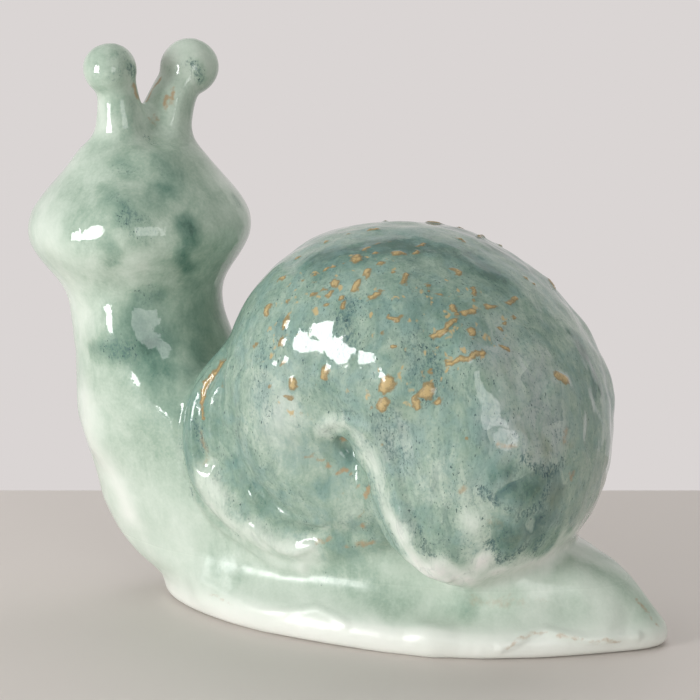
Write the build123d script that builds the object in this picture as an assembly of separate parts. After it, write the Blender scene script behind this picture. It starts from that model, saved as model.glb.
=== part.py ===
from build123d import *
import os
from math import cos, pi, radians, sin

# Snail figurine in glazed stoneware, luted together from separate castings. Sizes in
# millimetres. The sole lies on Z = 0, the head is toward -X and the tail toward +X. The axis
# that the shell coils round is parallel to Y and passes over the origin.

# Foot and body
foot_front = 66.0
foot_back = 75.0
foot_half_width = 34.0
slab_height = 6.0
hem_roll = 2.0
hem_wave = 0.5
head_seat_height = 123.0
head_half_width = 33.0
head_turn = 35.0
wall = 4.5
slip_gap = 0.2

# Shell
coil_height = 56.0
coil_reach = 57.0
coil_half_width = 43.0
coil_bore = 0.6
core_radius = 1.2
lip_depth = 9.0
shell_seat_height = 12.0

# Mantle collar, whose reach from the coil's axis is less than the coil's by its setback
collar_setback = 7.0
collar_half_width = 29.0
collar_roll = 9.0

# Eye stalks, whose places run across the head from its middle
left_eye_radius = 7.1
left_eye_across = 8.0
right_eye_radius = 7.8
right_eye_across = 16.4
stalk_height = 26.6
stalk_part_across = 1.5

# Vents that let hot air out of the closed rooms in the kiln
sole_vent = 9.0
sole_vent_back = 20.0
shell_vent = 7.0
shell_vent_back = 36.0

foot_length = foot_front + foot_back
collar_reach = coil_reach - collar_setback
roof_inset_share = 0.7

# The shell's room takes every second section of its form, and a cutter is this many times as
# long as what it cuts.
room_step = 2
overcut = 3

# The sole: pinch and skew of its outline, as in the sections of the body, and the levels of
# its hem as height, a share of slab_height, and draw, a share of hem_roll.
sole_end_shares = (1.35, 0.06)
hem_waves = 3
hem_level_shares = [
    (0.0, 1.0),
    (0.18, 0.25),
    (0.5, 0.0),
    (1.0, 0.35),
]
outline_steps = 12

# Level sections of the body. Height is a share of the way from the slab's top to the head's
# seat, middle and half_length of foot_length, half_width of head_half_width and turn of
# head_turn. Pinch is the power that draws the tail end in, and the chest end by its share, and
# skew moves the widest place toward the tail. From the neck up the sections crowd toward both
# ends of their loft, which keeps its surface from rippling.
body_section_shares = [
    # height, middle, half_length, half_width, turn, pinch, skew
    (0.000, 0.020, 0.500, 0.950, 0.0, 1.35, 0.08),
    (0.038, -0.014, 0.508, 0.870, 0.0, 1.25, 0.10),
    (0.077, -0.046, 0.509, 0.822, 0.0, 1.10, 0.14),
    (0.113, -0.079, 0.496, 0.795, 0.0, 0.97, 0.18),
    (0.148, -0.124, 0.469, 0.775, 0.0, 0.92, 0.20),
    (0.191, -0.168, 0.437, 0.755, 0.0, 0.92, 0.18),
    (0.243, -0.216, 0.398, 0.730, 0.0, 0.95, 0.12),
    (0.311, -0.291, 0.340, 0.706, 0.0, 1.00, 0.06),
    (0.385, -0.375, 0.267, 0.688, 0.0, 1.00, 0.02),
    (0.448, -0.440, 0.203, 0.674, 0.1, 1.00, 0.0),
    (0.511, -0.4755, 0.1645, 0.660, 0.30, 1.00, 0.0),
    (0.535, -0.4825, 0.1563, 0.657, 0.40, 1.00, 0.0),
    (0.600, -0.4953, 0.1417, 0.655, 0.66, 1.00, 0.0),
    (0.690, -0.5077, 0.1496, 0.711, 0.96, 1.00, 0.0),
    (0.800, -0.5113, 0.2082, 0.911, 1.00, 1.00, 0.0),
    (0.900, -0.5073, 0.1717, 0.749, 1.00, 1.00, 0.0),
    (0.970, -0.5107, 0.1213, 0.536, 1.00, 1.00, 0.0),
    (1.000, -0.5135, 0.1000, 0.450, 1.00, 1.00, 0.0),
]
neck_share = 0.511
chest_pinch_share = 0.3
chest_inset_share = 0.7

# Sections of the shell round the coil's axis, from under the outer whorl's lip to the end
# that passes below it. Reach is a share of coil_reach and width of coil_half_width.
coil_section_shares = [
    # angle, reach, width
    (-75.0, 0.81, 0.92),
    (-45.0, 0.985, 0.955),
    (-15.0, 1.018, 0.985),
    (15.0, 0.955, 1.00),
    (45.0, 0.888, 1.00),
    (75.0, 0.857, 0.99),
    (105.0, 0.857, 0.97),
    (130.0, 0.848, 0.945),
    (155.0, 0.79, 0.915),
    (180.0, 0.74, 0.88),
    (210.0, 0.70, 0.835),
    (240.0, 0.655, 0.80),
    (270.0, 0.62, 0.77),
    (300.0, 0.58, 0.745),
    (330.0, 0.54, 0.72),
]
coil_half_turn = 180.0

# Half of the section through a whorl, from the coil's axis over the crown to the rim.
# Reach is a share of the section's reach and width of its half width.
whorl_profile_shares = [
    (0.22, 0.97),
    (0.46, 1.00),
    (0.76, 0.85),
    (0.945, 0.48),
]
axis_width_share = 0.92
core_width_share = 0.85

# The lip of the outer whorl, seen along the coil's axis, from the middle down to the foot:
# its rolled crown, and its root where it meets the inner whorl. Places are shares of
# coil_reach from the axis.
lip_crown_shares = [
    (-0.12, 0.00),
    (-0.05, 0.09),
    (0.07, 0.09),
    (0.17, 0.03),
    (0.235, -0.13),
    (0.275, -0.30),
    (0.36, -0.45),
    (0.52, -0.60),
    (0.80, -0.85),
]
lip_root_shares = [
    (-0.16, 0.00),
    (-0.11, -0.01),
    (-0.04, -0.03),
    (0.02, -0.12),
    (0.07, -0.25),
    (0.12, -0.37),
    (0.20, -0.50),
    (0.35, -0.60),
    (0.60, -0.85),
]

# The collar's outer edge seen along the coil's axis: angle, and reach as a share of
# collar_reach.
collar_edge_shares = [
    (122.0, 0.70),
    (140.0, 0.80),
    (156.0, 0.87),
    (172.0, 0.97),
    (188.0, 1.03),
    (204.0, 1.04),
    (218.0, 0.98),
    (232.0, 0.93),
    (246.0, 0.86),
    (262.0, 0.76),
    (282.0, 0.67),
    (300.0, 0.61),
]

# Rings of an eye stalk: height as a share of the way from the seat to the eye's middle,
# place across the head as a share of the eye's own, half width and half depth of its radius.
left_ring_shares = [
    (0.0, 0.70, 1.02, 1.15),
    (0.42, 0.63, 0.92, 0.86),
    (0.70, 0.76, 0.80, 0.77),
    (0.88, 0.93, 0.86, 0.84),
]
right_ring_shares = [
    (0.0, 0.48, 0.90, 1.08),
    (0.42, 0.55, 0.97, 0.92),
    (0.68, 0.71, 0.91, 0.87),
    (0.88, 0.91, 0.92, 0.90),
]


def on_level(height, points):
    """A flat face at a height, bounded by one smooth closed curve."""
    curve = Spline(*[Vector(x, y, height) for x, y in points], periodic=True)
    return Face(Wire([curve]))


def egg(middle, half_length, half_width, turn, pinch, skew):
    """Points round a level section, blunt at the chest and drawn in at the tail."""
    points = []
    for step in range(outline_steps):
        angle = 2 * pi * step / outline_steps
        side = 1 if sin(angle) >= 0 else -1
        power = pinch if cos(angle) >= 0 else 1 + (pinch - 1) * chest_pinch_share
        along = half_length * cos(angle)
        across = half_width * side * abs(sin(angle)) ** power
        across *= 1 + skew * cos(angle)
        x = middle + along * cos(turn) + across * sin(turn)
        points.append((x, across * cos(turn) - along * sin(turn)))
    return points


def body_level(shares, inset):
    """One level section of the body, drawn in by an inset.

    A room's sections sink toward the sole, where the tail's back slopes and the chest leans out
    above, and toward the top, for the roof. That keeps the wall even.
    """
    height, middle, half_length, half_width, turn, pinch, skew = shares
    lowness = max(0, 1 - height / neck_share)
    highness = max(0, (height - neck_share) / (1 - neck_share))
    sink = inset * roof_inset_share * (lowness + highness**2)
    chest_inset = inset * lowness * chest_inset_share
    points = egg(
        middle * foot_length + chest_inset / 2,
        half_length * foot_length - inset - chest_inset / 2,
        half_width * head_half_width - inset,
        radians(turn * head_turn),
        pinch,
        skew,
    )
    level = slab_height + height * (head_seat_height - slab_height)
    return on_level(level - sink, points)


def thinned(rows, step):
    """Every step-th row, with the last one."""
    return rows[:-1:step] + rows[-1:]


def body_form(inset):
    """Foot mound with the neck and head that rise from its front."""
    low = [row for row in body_section_shares if row[0] <= neck_share]
    high = [row for row in body_section_shares if row[0] >= neck_share]
    mound = loft([body_level(row, inset) for row in low])
    return mound + loft([body_level(row, inset) for row in high])


def whorl_section(shares, inset):
    """Half-plane section of the coil at an angle round its axis."""
    angle, reach, half_width = shares
    reach = reach * coil_reach - inset
    half_width = half_width * coil_half_width - inset
    outward = Vector(cos(radians(angle)), 0, sin(radians(angle)))
    plane = Plane((0, 0, coil_height), x_dir=outward, z_dir=(-outward.Z, 0, outward.X))
    near = [(coil_bore, -axis_width_share * half_width)]
    near += [(out * reach, -wide * half_width) for out, wide in whorl_profile_shares]
    far = [(out, -wide) for out, wide in reversed(near)]
    points = [plane.from_local_coords(Vector(x, y)) for x, y in near + [(reach, 0)] + far]
    return Face(Wire([Spline(*points), Line(points[-1], points[0])]))


def core(width_share, inset):
    """Rod that fills the coil's bore."""
    half_width = width_share * core_width_share * coil_half_width - inset
    rod = Cylinder(core_radius, 2 * half_width, rotation=(90, 0, 0))
    return Pos(0, 0, coil_height) * rod


def lip_face(edge_shares, across, inset):
    """The region on the inner side of the lip at one place along the coil's axis."""
    edge = [(x * coil_reach + inset, z * coil_reach + coil_height) for x, z in edge_shares]
    curve = Spline(*[Vector(x, across, z) for x, z in edge])
    start, end = curve @ 0, curve @ 1
    away = -overcut * coil_reach
    corners = [end, Vector(away, across, end.Z), Vector(away, across, start.Z), start]
    sides = [Line(one, other) for one, other in zip(corners, corners[1:])]
    return Face(Wire([curve, *sides]))


def lip_side(inset):
    """The block that ends the outer whorl: upright inside, leaning back over the crown."""
    root_width = coil_half_width - lip_depth
    block = extrude(lip_face(lip_root_shares, 0, inset), root_width, (0, 1, 0), both=True)
    for side in (-1, 1):
        root = lip_face(lip_root_shares, side * root_width, inset)
        crown = lip_face(lip_crown_shares, side * coil_half_width, inset)
        block += loft([root, crown], ruled=True)
    return block


def above(height):
    """All of the room above a height."""
    span = overcut * (foot_length + head_seat_height)
    corner = (Align.CENTER, Align.CENTER, Align.MIN)
    return Pos(0, 0, height) * Box(span, span, span, align=corner)


def shell_form(inset, step=1):
    """The coil: outer whorl ended at its lip, inner whorl passing under it, and core."""
    first = thinned([row for row in coil_section_shares if row[0] <= coil_half_turn], step)
    second = thinned([row for row in coil_section_shares if row[0] >= coil_half_turn], step)
    outer = loft([whorl_section(row, inset) for row in first])
    inner = loft([whorl_section(row, inset) for row in second])
    end_width_share = coil_section_shares[-1][2]
    coil = (outer + core(1, inset)) - lip_side(inset) + inner + core(end_width_share, inset)
    return coil & above(shell_seat_height + inset)


def collar_form(inset):
    """Rolled band that wraps the front of the shell from side to side."""
    edge = []
    for angle, share in collar_edge_shares:
        reach = share * collar_reach - inset
        x = reach * cos(radians(angle))
        edge.append(Vector(x, 0, coil_height + reach * sin(radians(angle))))
    curve = Spline(*edge)
    middle = Vector(0, 0, coil_height)
    outline = Wire([curve, Line(edge[-1], middle), Line(middle, edge[0])])
    half_width = collar_half_width - inset
    band = extrude(Face(outline), half_width, (0, 1, 0), both=True)
    rims = [edge for edge in band.edges() if edge.geom_type == GeomType.BSPLINE]
    rims = [edge for edge in rims if abs(edge.center().Y) > half_width / 2]
    return fillet(rims, collar_roll - inset)


def make_foot_slab():
    """Sole slab with a rolled hem that waves a little, and the vent through it."""
    middle = (foot_back - foot_front) / 2
    levels = []
    for height_share, draw_share in hem_level_shares:
        draw = draw_share * hem_roll
        points = egg(middle, foot_length / 2 - draw, foot_half_width - draw, 0, *sole_end_shares)
        waved = []
        for step, (x, y) in enumerate(points):
            wave = 1 + hem_wave / foot_half_width * sin(hem_waves * 2 * pi * step / outline_steps)
            waved.append((x, y * wave))
        levels.append(on_level(height_share * slab_height, waved))
    vent = Pos(sole_vent_back, 0, 0) * Cylinder(sole_vent / 2, overcut * slab_height)
    return loft(levels) - vent


def make_body(shell, collar):
    """Hollow casting of the mound, neck and head, open below and where the shell sits."""
    hollow = body_form(0) - body_form(wall)
    return hollow - shell - collar


def make_shell():
    """Hollow coil with a vent through its seat into the body's room."""
    reach = overcut * shell_seat_height
    vent = Pos(shell_vent_back, 0, shell_seat_height) * Cylinder(shell_vent / 2, reach)
    return shell_form(0) - shell_form(wall, room_step) - vent


def stalk(rings, eye_radius, across, side):
    """One solid eye stalk, parted from the other at a plane between them."""
    turn = radians(head_turn)
    across_head = Vector(sin(turn), cos(turn), 0)
    seat = Vector(body_section_shares[-1][1] * foot_length, 0, head_seat_height)
    rise = stalk_height - eye_radius
    faces = []
    for height, place, half_width, half_depth in rings:
        spot = seat + across_head * (side * across * place) + Vector(0, 0, height * rise)
        ring = Ellipse(half_width * eye_radius, half_depth * eye_radius)
        faces.append(Plane(spot, x_dir=across_head, z_dir=(0, 0, 1)) * ring)
    eye = seat + across_head * (side * across) + Vector(0, 0, rise)
    whole = loft(faces) + Pos(*eye) * Sphere(eye_radius)
    part = seat + across_head * (stalk_part_across + side * slip_gap / 2)
    keep = Plane(part, z_dir=across_head * side)
    return split(whole, bisect_by=keep, keep=Keep.TOP)


def make_parts():
    """Every piece by its name."""
    shell_room = shell_form(-slip_gap)
    collar_room = collar_form(-slip_gap)
    return {
        "foot_slab": make_foot_slab(),
        "body": make_body(shell_room, collar_room),
        "shell": make_shell(),
        "mantle_collar": collar_form(0) - shell_room,
        "left_eye_stalk": stalk(left_ring_shares, left_eye_radius, left_eye_across, -1),
        "right_eye_stalk": stalk(right_ring_shares, right_eye_radius, right_eye_across, 1),
    }


os.makedirs("parts", exist_ok=True)
for name, piece in make_parts().items():
    export_step(piece, f"parts/{name}.step")
    print(name, round(piece.volume), len(piece.solids()), "solids")
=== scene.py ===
from math import cos, pi, radians, sin

import bpy
import numpy as np
from bpy.props import FloatProperty, FloatVectorProperty, IntProperty, PointerProperty
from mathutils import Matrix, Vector, noise
from mathutils.bvhtree import BVHTree
from mathutils.kdtree import KDTree


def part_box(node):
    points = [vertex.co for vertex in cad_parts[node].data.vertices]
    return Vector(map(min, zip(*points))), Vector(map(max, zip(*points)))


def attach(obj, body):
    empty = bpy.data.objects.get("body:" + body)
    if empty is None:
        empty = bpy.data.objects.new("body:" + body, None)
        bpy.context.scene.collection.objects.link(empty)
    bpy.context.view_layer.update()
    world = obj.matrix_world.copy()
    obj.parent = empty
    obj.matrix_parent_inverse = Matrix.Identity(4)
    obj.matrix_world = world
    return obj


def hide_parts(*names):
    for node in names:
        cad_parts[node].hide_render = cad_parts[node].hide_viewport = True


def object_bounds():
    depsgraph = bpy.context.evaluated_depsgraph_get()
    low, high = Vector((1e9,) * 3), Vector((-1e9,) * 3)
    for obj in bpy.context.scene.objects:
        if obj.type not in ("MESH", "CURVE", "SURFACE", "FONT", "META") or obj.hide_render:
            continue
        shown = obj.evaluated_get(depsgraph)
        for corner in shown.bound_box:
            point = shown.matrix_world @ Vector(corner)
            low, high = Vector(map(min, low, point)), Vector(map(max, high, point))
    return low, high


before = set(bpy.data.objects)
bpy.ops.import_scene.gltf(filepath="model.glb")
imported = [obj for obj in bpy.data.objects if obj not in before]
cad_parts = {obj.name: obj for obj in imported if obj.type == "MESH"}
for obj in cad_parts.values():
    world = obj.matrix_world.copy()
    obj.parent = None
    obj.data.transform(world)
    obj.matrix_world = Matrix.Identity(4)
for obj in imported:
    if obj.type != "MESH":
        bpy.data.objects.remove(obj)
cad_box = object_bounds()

bl_info = {
    "name": "Glazed snail figurine",
    "version": (1, 0, 0),
    "blender": (4, 5, 0),
    "location": "3D View > Sidebar > Snail",
    "description": "Lays one glazed skin over the castings of a stoneware snail and parts it again",
    "category": "Add Mesh",
}

MM = 0.001
PIECES = {
    "foot_slab": ("glazed_foot_slab", "foot_glaze"),
    "body": ("glazed_body", "body_glaze"),
    "shell": ("glazed_shell", "shell_glaze"),
    "mantle_collar": ("glazed_mantle_collar", "collar_glaze"),
    "left_eye_stalk": ("glazed_left_eye_stalk", "stalk_glaze"),
    "right_eye_stalk": ("glazed_right_eye_stalk", "stalk_glaze"),
}
CHANNELS = ("pool", "ink", "run", "haze", "vein", "rust", "fleck", "ochre")
SKIN = "clay_skin"
PHOTO_SIZE = 700
SENSOR = 36
LOOK_AT = Vector((-12.33, 0, 70.54)) * MM
SHELL_CENTRE = Vector((0, 0, 56 * MM))

# A casting farther off than this has no part in a place
REACH = 12 * MM
# Over this distance one casting's coat goes over into the next one's
COAT_BLEND = 1.5 * MM
# The kiln vent's place on the middle line, and the radius of its stop
VENT_X, STOP_RADIUS = 20 * MM, 7 * MM
# Points of the castings nearer than this are one point
WELD = 0.001 * MM
# Heights about the stalks' seat over which the crown's smoothing comes in and goes out
CROWN_IN = (-13 * MM, -5 * MM)
CROWN_OUT = (1 * MM, 6 * MM)
# Heights over which the lumps come in above the flat sole
LUMPS_IN = (1 * MM, 6 * MM)
# How far round the shell its knobs reach, and the share of the ripples that the rest has
KNOB_REACH, FEWER_RIPPLES = 3 * MM, 0.4
# Depth of the glaze on each casting, the ink in it and how far it ran
BASE_COATS = {
    "foot_slab": (0.06, 0.0, 0.0),
    "body": (0.58, 0.05, 0.0),
    "shell": (0.72, 0.42, 1.0),
    "mantle_collar": (0.78, 0.30, 0.8),
    "left_eye_stalk": (0.54, 0.08, 0.0),
    "right_eye_stalk": (0.52, 0.10, 0.0),
}
# Heights between which the flank's glaze deepens, the shell's bare edge ends and its ink begins
FLANK_DEEPENS = (14 * MM, 46 * MM)
BARE_EDGE = (25 * MM, 31 * MM)
INK_EDGE = (18 * MM, 26 * MM)
# The fingers in which the glaze ran over that edge: their width, how long they stay straight,
# how far they move the edge and how far its ink
FINGER_WIDTH, FINGER_LENGTH, FINGER_REACH, INK_REACH = 6 * MM, 45 * MM, 8 * MM, 5 * MM
# How much shallower the glaze is low on the flank and on the bare edge, and how much paler head and neck
# are painted towards the window, as painted window light
FLANK_THIN, EDGE_THIN, WINDOW_PAINTED_LIGHT = 0.14, 0.43, 0.15
# How squarely head and neck face the window where the painted window light begins and where it is full
FACING = (0.25, 0.95)
SHELL_HAZE = 0.12

# Brushes, by the size and reach of the noise that makes their edges ragged
BRUSHES = {
    "ragged": ((9 * MM, 2.6 * MM), (3 * MM, 1.0 * MM)),
    "fine": ((2.8 * MM, 0.9 * MM), (1.5 * MM, 0.55 * MM)),
    "plain": (),
}
# Without a seed that noise would differ from run to run
JITTER_SEED = 1
# Strokes thinner than this radius, in millimetres, are drawn with the fine brush
FINE_BRUSH = 2
DABS_PER_RADIUS = 7
FAR_DROPS_TURN = radians(24)
# How deep the skin is drawn in where its lumps stand out past the box
DRAWN_IN = 15 * MM
# Roughness of the glaze and of the thin slip low on the foot, and the heights between them
GLOSS, DULL = 0.07, 0.30
DULL_FOOT = (14 * MM, 25 * MM)
GLAZE_IOR = 1.52
# How strongly the orange peel shows, and its depth
PEEL_STRENGTH, PEEL_DEPTH = 0.35, 0.3 * MM
# Roughness of the table top and the backdrop, and the colour of the room round them
SHEET_ROUGHNESS = 0.5
ROOM_COLOUR = "f4f2ef"
WEIGHT_LEVELS = 20


def paint(code):
    """A colour written as six hex digits, in the linear values that sockets hold."""
    values = [int(code[k:k + 2], 16) / 255 for k in (0, 2, 4)]
    return [v / 12.92 if v <= 0.04045 else ((v + 0.055) / 1.055) ** 2.4 for v in values]


# Settings that a user would change


def length(name, description, default):
    return FloatProperty(name=name, description=description, default=default, unit="LENGTH")


def angle(name, description, default):
    return FloatProperty(name=name, description=description, default=default, subtype="ANGLE")


def count(name, description, default):
    return IntProperty(name=name, description=description, default=default, min=0)


def power(name, description, default):
    return FloatProperty(name=name, description=description, default=default, min=0)


def colour(name, description, code):
    return FloatVectorProperty(name=name, description=description, default=paint(code), size=3,
                               subtype="COLOR", min=0, max=1)


class SnailClaySettings(bpy.types.PropertyGroup):
    """Sizes of the clay skin"""

    grain: length("Grain", "Grid on which the castings are fused", 0.83 * MM)
    joint_reach: length("Joint reach", "How far from a joint the slip is smoothed", 4.5 * MM)
    joint_passes: count("Joint passes", "Strokes along each joint", 30)
    root_reach: length("Root reach", "How far round the eye stalks' roots the slip is smoothed", 9 * MM)
    root_passes: count("Root passes", "Strokes round the stalks' roots", 60)
    cove_reach: length("Cove reach", "How far from the foot slab the flank is smoothed", 9 * MM)
    cove_passes: count("Cove passes", "Strokes along the foot's cove", 80)
    crown_passes: count("Crown passes", "Strokes over the head's top", 110)
    soften_passes: count("Soften passes", "Strokes all over", 10)
    lump_height: length("Lump height", "Height of the gentle lumps all over", 1.1 * MM)
    lump_size: length("Lump size", "Size of the gentle lumps", 17 * MM)
    ripple_height: length("Ripple height", "Height of the fine ripples", 0.35 * MM)
    ripple_size: length("Ripple size", "Size of the fine ripples", 6 * MM)
    knob_height: length("Knob height", "Height of the knobs of thick glaze on the shell", 0.55 * MM)
    knob_size: length("Knob size", "Size of the knobs of thick glaze on the shell", 8 * MM)
    drop_rise: length("Drop rise", "How far the ochre drops stand out", 0.5 * MM)
    wall: length("Wall", "Thickness of each piece's wall", 2 * MM)


class SnailGlazeSettings(bpy.types.PropertyGroup):
    """Colours of the glaze, from thin to pooled, and of what it carries"""

    white: colour("White", "Bare slip at the hem", "eeede8")
    cream: colour("Cream", "Thinnest glaze", "dfe5dc")
    pale: colour("Pale mint", "Thin glaze", "ccd7cb")
    mint: colour("Mint", "Glaze of middling depth", "b6c6b7")
    sage: colour("Sage", "Deeper glaze", "9bb09f")
    green: colour("Green", "Pooled glaze", "829c8c")
    teal: colour("Teal", "Deeply pooled glaze", "668677")
    deep: colour("Deep teal", "Deepest glaze", "4c6c5f")
    sea: colour("Sea", "Bluer cast of the thick glaze on the shell", "729797")
    blue: colour("Blue", "Veils and veins of ink", "4a696a")
    ink: colour("Ink", "Specks", "2a454c")
    haze: colour("Haze", "Milky veil", "b2bcb8")
    olive: colour("Olive", "Muddy pools between the veins", "7d8468")
    ochre: colour("Ochre", "Middle of the raised drops", "c4a873")
    brown: colour("Brown", "Edge of the raised drops", "907a50")
    rust: colour("Rust", "Warm stains", "ad8a62")


class SnailStudioSettings(bpy.types.PropertyGroup):
    """Camera, lamps and stage"""

    azimuth: angle("Azimuth", "Camera angle round the snail", radians(20))
    elevation: angle("Elevation", "Camera angle above the table", radians(12))
    distance: length("Distance", "From the camera to the point that it looks at", 650 * MM)
    lens: FloatProperty(name="Lens", description="Focal length on a 36 mm sensor", default=127.3,
                        min=1, subtype="DISTANCE_CAMERA")
    window_power: power("Window", "Radiance of the window lamp", 17)
    second_power: power("Second window", "Radiance of the second lamp", 3.5)
    overhead_power: power("Overhead", "Radiance of the overhead cloth", 1.6)
    room: power("Room", "Radiance of the room round the stage", 0.42)
    table: colour("Table", "Colour of the table top", "dbd4cf")
    backdrop: colour("Backdrop", "Colour of the backdrop", "dad5d4")


def deselect_all():
    if bpy.context.object and bpy.context.object.mode != "OBJECT":
        bpy.ops.object.mode_set(mode="OBJECT")
    bpy.ops.object.select_all(action="DESELECT")


def work_on(obj):
    """Makes an object the only one selected, and the active one."""
    deselect_all()
    obj.select_set(True)
    bpy.context.view_layer.objects.active = obj


def applied(obj, kind, **values):
    """Adds a modifier with its values and applies it."""
    work_on(obj)
    modifier = obj.modifiers.new(kind.lower(), kind)
    for key, value in values.items():
        setattr(modifier, key, value)
    bpy.ops.object.modifier_apply(modifier=modifier.name)


def held(elements, key, width=1, kind=np.float32):
    """One property of all of a mesh's vertices, corners or faces, with a row for each."""
    values = np.zeros(len(elements) * width, kind)
    elements.foreach_get(key, values)
    return values.reshape(-1, width) if width > 1 else values


def points_of(obj):
    return held(obj.data.vertices, "co", 3).astype(float)


def set_points(obj, places):
    obj.data.vertices.foreach_set("co", places.astype(np.float32).ravel())
    obj.data.update()


def normals_of(obj):
    return held(obj.data.vertex_normals, "vector", 3).astype(float)


def get_attribute(obj, name):
    return held(obj.data.attributes[name].data, "value").astype(float)


def set_attribute(obj, name, values):
    attribute = obj.data.attributes.get(name) or obj.data.attributes.new(name, "FLOAT", "POINT")
    attribute.data.foreach_set("value", values.astype(np.float32))


def group_of(obj, name, weights):
    """A vertex group with a weight for each vertex."""
    group = obj.vertex_groups.new(name=name)
    levels = np.round(np.clip(weights, 0, 1) * WEIGHT_LEVELS).astype(int)
    for level in range(1, WEIGHT_LEVELS + 1):
        chosen = np.nonzero(levels == level)[0]
        if len(chosen):
            group.add(chosen.tolist(), level / WEIGHT_LEVELS, "REPLACE")
    return group.name


def smooth_step(values, low, high):
    """0 below low, 1 above high and a smooth step between them."""
    t = np.clip((values - low) / (high - low), 0, 1)
    return t * t * (3 - 2 * t)


# The photograph's view, which places the marks


def view_back(studio):
    flat = cos(studio.elevation)
    return Vector((sin(studio.azimuth) * flat, -cos(studio.azimuth) * flat, sin(studio.elevation)))


def photo_ray(studio, u, v):
    """Start and direction of the ray through a place in the photograph."""
    back = view_back(studio)
    right = Vector((cos(studio.azimuth), sin(studio.azimuth), 0))
    up = right.cross(-back)
    focal = studio.lens / SENSOR * PHOTO_SIZE
    aim = -back * focal + right * (u - PHOTO_SIZE / 2) + up * (PHOTO_SIZE / 2 - v)
    return LOOK_AT + back * studio.distance, aim.normalized()


def on_skin(obj, studio, u, v):
    """The place on the skin that the photograph shows at a pixel, or None."""
    start, aim = photo_ray(studio, u, v)
    hit, place, _, _ = obj.ray_cast(start, aim)
    return place if hit else None


# The clay skin and the marks on it. A mark is a stroke through places that the
# photograph shows, in its pixels, and it is repeated on the side that it doesn't show.

TREES = {}


def jittered(places, *octaves):
    """Places shifted by smooth noise, so that a brush drawn over them gets a ragged edge."""
    moved = [Vector(place) for place in places]
    for size, reach in octaves:
        moved = [place + noise.noise_vector(place / size) * reach for place in moved]
    return moved


def plant_trees(skin):
    """Sorts the skin's vertices by place, for each kind of brush."""
    noise.seed_set(JITTER_SEED)
    places = points_of(skin)
    for name, octaves in BRUSHES.items():
        tree = KDTree(len(places))
        for index, place in enumerate(jittered(places, *octaves)):
            tree.insert(place, index)
        tree.balance()
        TREES[name] = tree


def brush(skin, studio, path, radius, kind, turn=0.0):
    """Weight of a soft brush drawn through places in the photograph, and on the far side."""
    seen = [on_skin(skin, studio, u, v) for u, v in path]
    seen = [place for place in seen if place]
    weights = np.zeros(len(skin.data.vertices))
    if not seen:
        return weights
    for far in (False, True):
        line = []
        for place in seen:
            if far:
                place = Vector((place.x, -place.y, place.z)) - SHELL_CENTRE
                place = Vector((place.x * cos(turn) - place.z * sin(turn), place.y,
                                place.x * sin(turn) + place.z * cos(turn))) + SHELL_CENTRE
            line.append(place)
        for start, end in zip(line, line[1:] + line[-1:]):
            steps = max(1, int((end - start).length / radius * DABS_PER_RADIUS))
            for step in range(steps):
                spot = skin.closest_point_on_mesh(start.lerp(end, step / steps))[1]
                for _, index, gap in TREES[kind].find_range(spot, radius):
                    weights[index] = max(weights[index], (1 - (gap / radius) ** 2) ** 2)
    return weights


def press(skin, rise):
    """Moves the skin along its own normals."""
    set_points(skin, points_of(skin) + normals_of(skin) * rise[:, None])


def stand_on_table(skin):
    """Presses flat what hangs below the table top."""
    places = points_of(skin)
    places[:, 2] = np.maximum(places[:, 2], 0)
    set_points(skin, places)


def node_distances(skin):
    """Distance from each vertex of the skin to each casting, as far as REACH."""
    places = [vertex.co for vertex in skin.data.vertices]
    columns = []
    for node in PIECES:
        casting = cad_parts[node]
        tree = BVHTree.FromPolygons(
            [vertex.co for vertex in casting.data.vertices],
            [tuple(face.vertices) for face in casting.data.polygons],
        )
        found = [tree.find_nearest(place, REACH)[3] for place in places]
        columns.append([REACH if far is None else far for far in found])
    return np.array(columns).T


def base_coat(skin, studio, distances):
    """How deep the glaze pools, where its ink and haze lie, and where head and neck are painted paler as
    window light, before any mark is made.
    """
    places, normals = points_of(skin), normals_of(skin)
    height = places[:, 2]
    near = np.exp(-distances / COAT_BLEND)
    near /= near.sum(axis=1)[:, None]
    depth, ink, run = (near @ np.array([BASE_COATS[node] for node in PIECES])).T
    on_shell = near[:, 2]
    depth -= FLANK_THIN * near[:, 1] * (1 - smooth_step(height, *FLANK_DEEPENS))
    drawn = places / (FINGER_WIDTH, FINGER_WIDTH, FINGER_LENGTH)
    fingers = np.array([noise.noise(Vector(place)) for place in drawn])
    bare = 1 - smooth_step(height - fingers * FINGER_REACH, *BARE_EDGE)
    depth -= EDGE_THIN * on_shell * bare
    ink *= smooth_step(height - fingers * INK_REACH, *INK_EDGE)
    # The side of head and neck that faces the window is painted paler, as painted window light, and it
    # carries less ink
    front = normals @ np.array([-cos(studio.azimuth), -sin(studio.azimuth), 0])
    fading = near[:, [1, 4, 5]].sum(axis=1) * smooth_step(front, *FACING)
    depth -= WINDOW_PAINTED_LIGHT * fading
    ink *= 1 - fading
    channels = {"pool": depth, "ink": ink, "run": run, "haze": SHELL_HAZE * on_shell}
    for name in CHANNELS:
        set_attribute(skin, name, channels.get(name, 0 * depth))


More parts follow.
